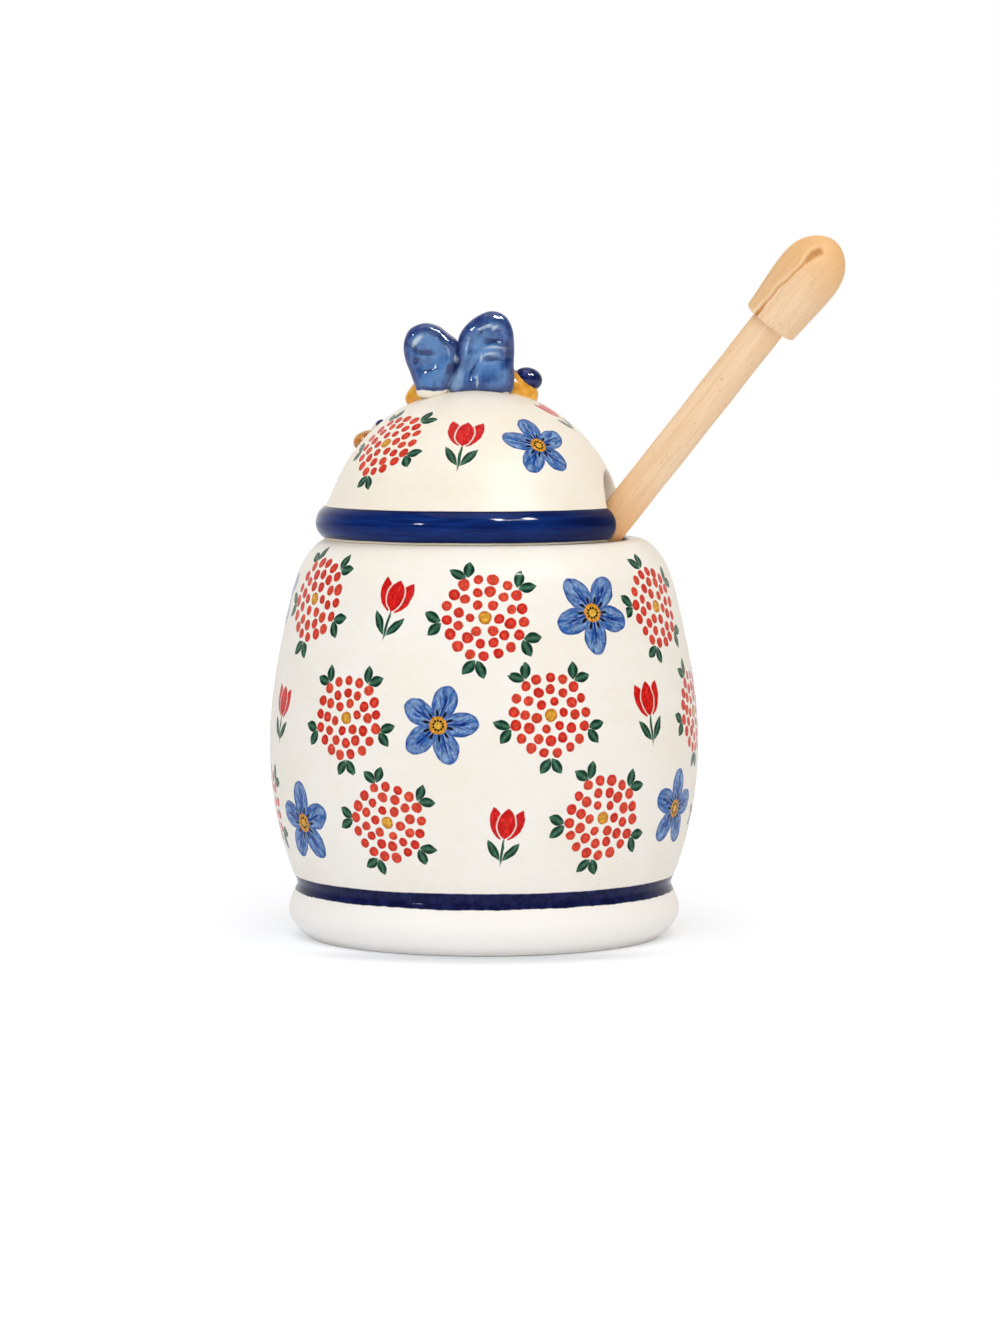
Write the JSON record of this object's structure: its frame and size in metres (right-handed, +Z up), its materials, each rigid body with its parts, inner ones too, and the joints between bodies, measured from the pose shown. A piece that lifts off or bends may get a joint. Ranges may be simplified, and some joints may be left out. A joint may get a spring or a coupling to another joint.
{
  "type": "honey pot",
  "caption": "Glazed ceramic honey pot with a loose domed lid, a modelled bee for a knob, and a wooden honey dipper that leans out through the lid's notch.",
  "frame": {"origin": "centre of the pot's foot, on the table", "axes": "+Z up the pot's axis; +X towards the side that the dipper leans out of, as seen from the front; -Y towards the front"},
  "size_m": [0.1468, 0.1108, 0.1806],
  "materials": {
    "painted_glaze": "cream gloss glaze, underglaze painting, cobalt bands",
    "yellow_glaze": "ochre yellow gloss glaze",
    "cobalt_glaze": "dark cobalt gloss glaze",
    "blue_glaze": "mottled mid blue gloss glaze",
    "beech": "turned beech, unvarnished, sanded"
  },
  "bodies": {
    "pot": {"pot_body": "painted_glaze"},
    "lid": {"lid_shell": "painted_glaze", "bee_body": "yellow_glaze", "bee_head": "cobalt_glaze", "wing_near_fore": "blue_glaze", "wing_near_hind": "blue_glaze", "wing_far_fore": "blue_glaze", "wing_far_hind": "blue_glaze", "small_bee_body": "yellow_glaze", "small_bee_head": "cobalt_glaze", "small_bee_wing_upper": "blue_glaze", "small_bee_wing_lower": "blue_glaze"},
    "dipper": {"dipper_rod": "beech", "dipper_knob": "beech", "dipper_head": "beech"}
  },
  "joints": [
    {"name": "lid_lift", "type": "slide", "parent": "pot", "child": "lid", "axis": [0, 0, 1], "range_m": [0, 0.1]},
    {"name": "dipper_draw", "type": "slide", "parent": "pot", "child": "dipper", "axis": [0.6024, -0.1727, 0.7792], "range_m": [0, 0.065]}
  ]
}
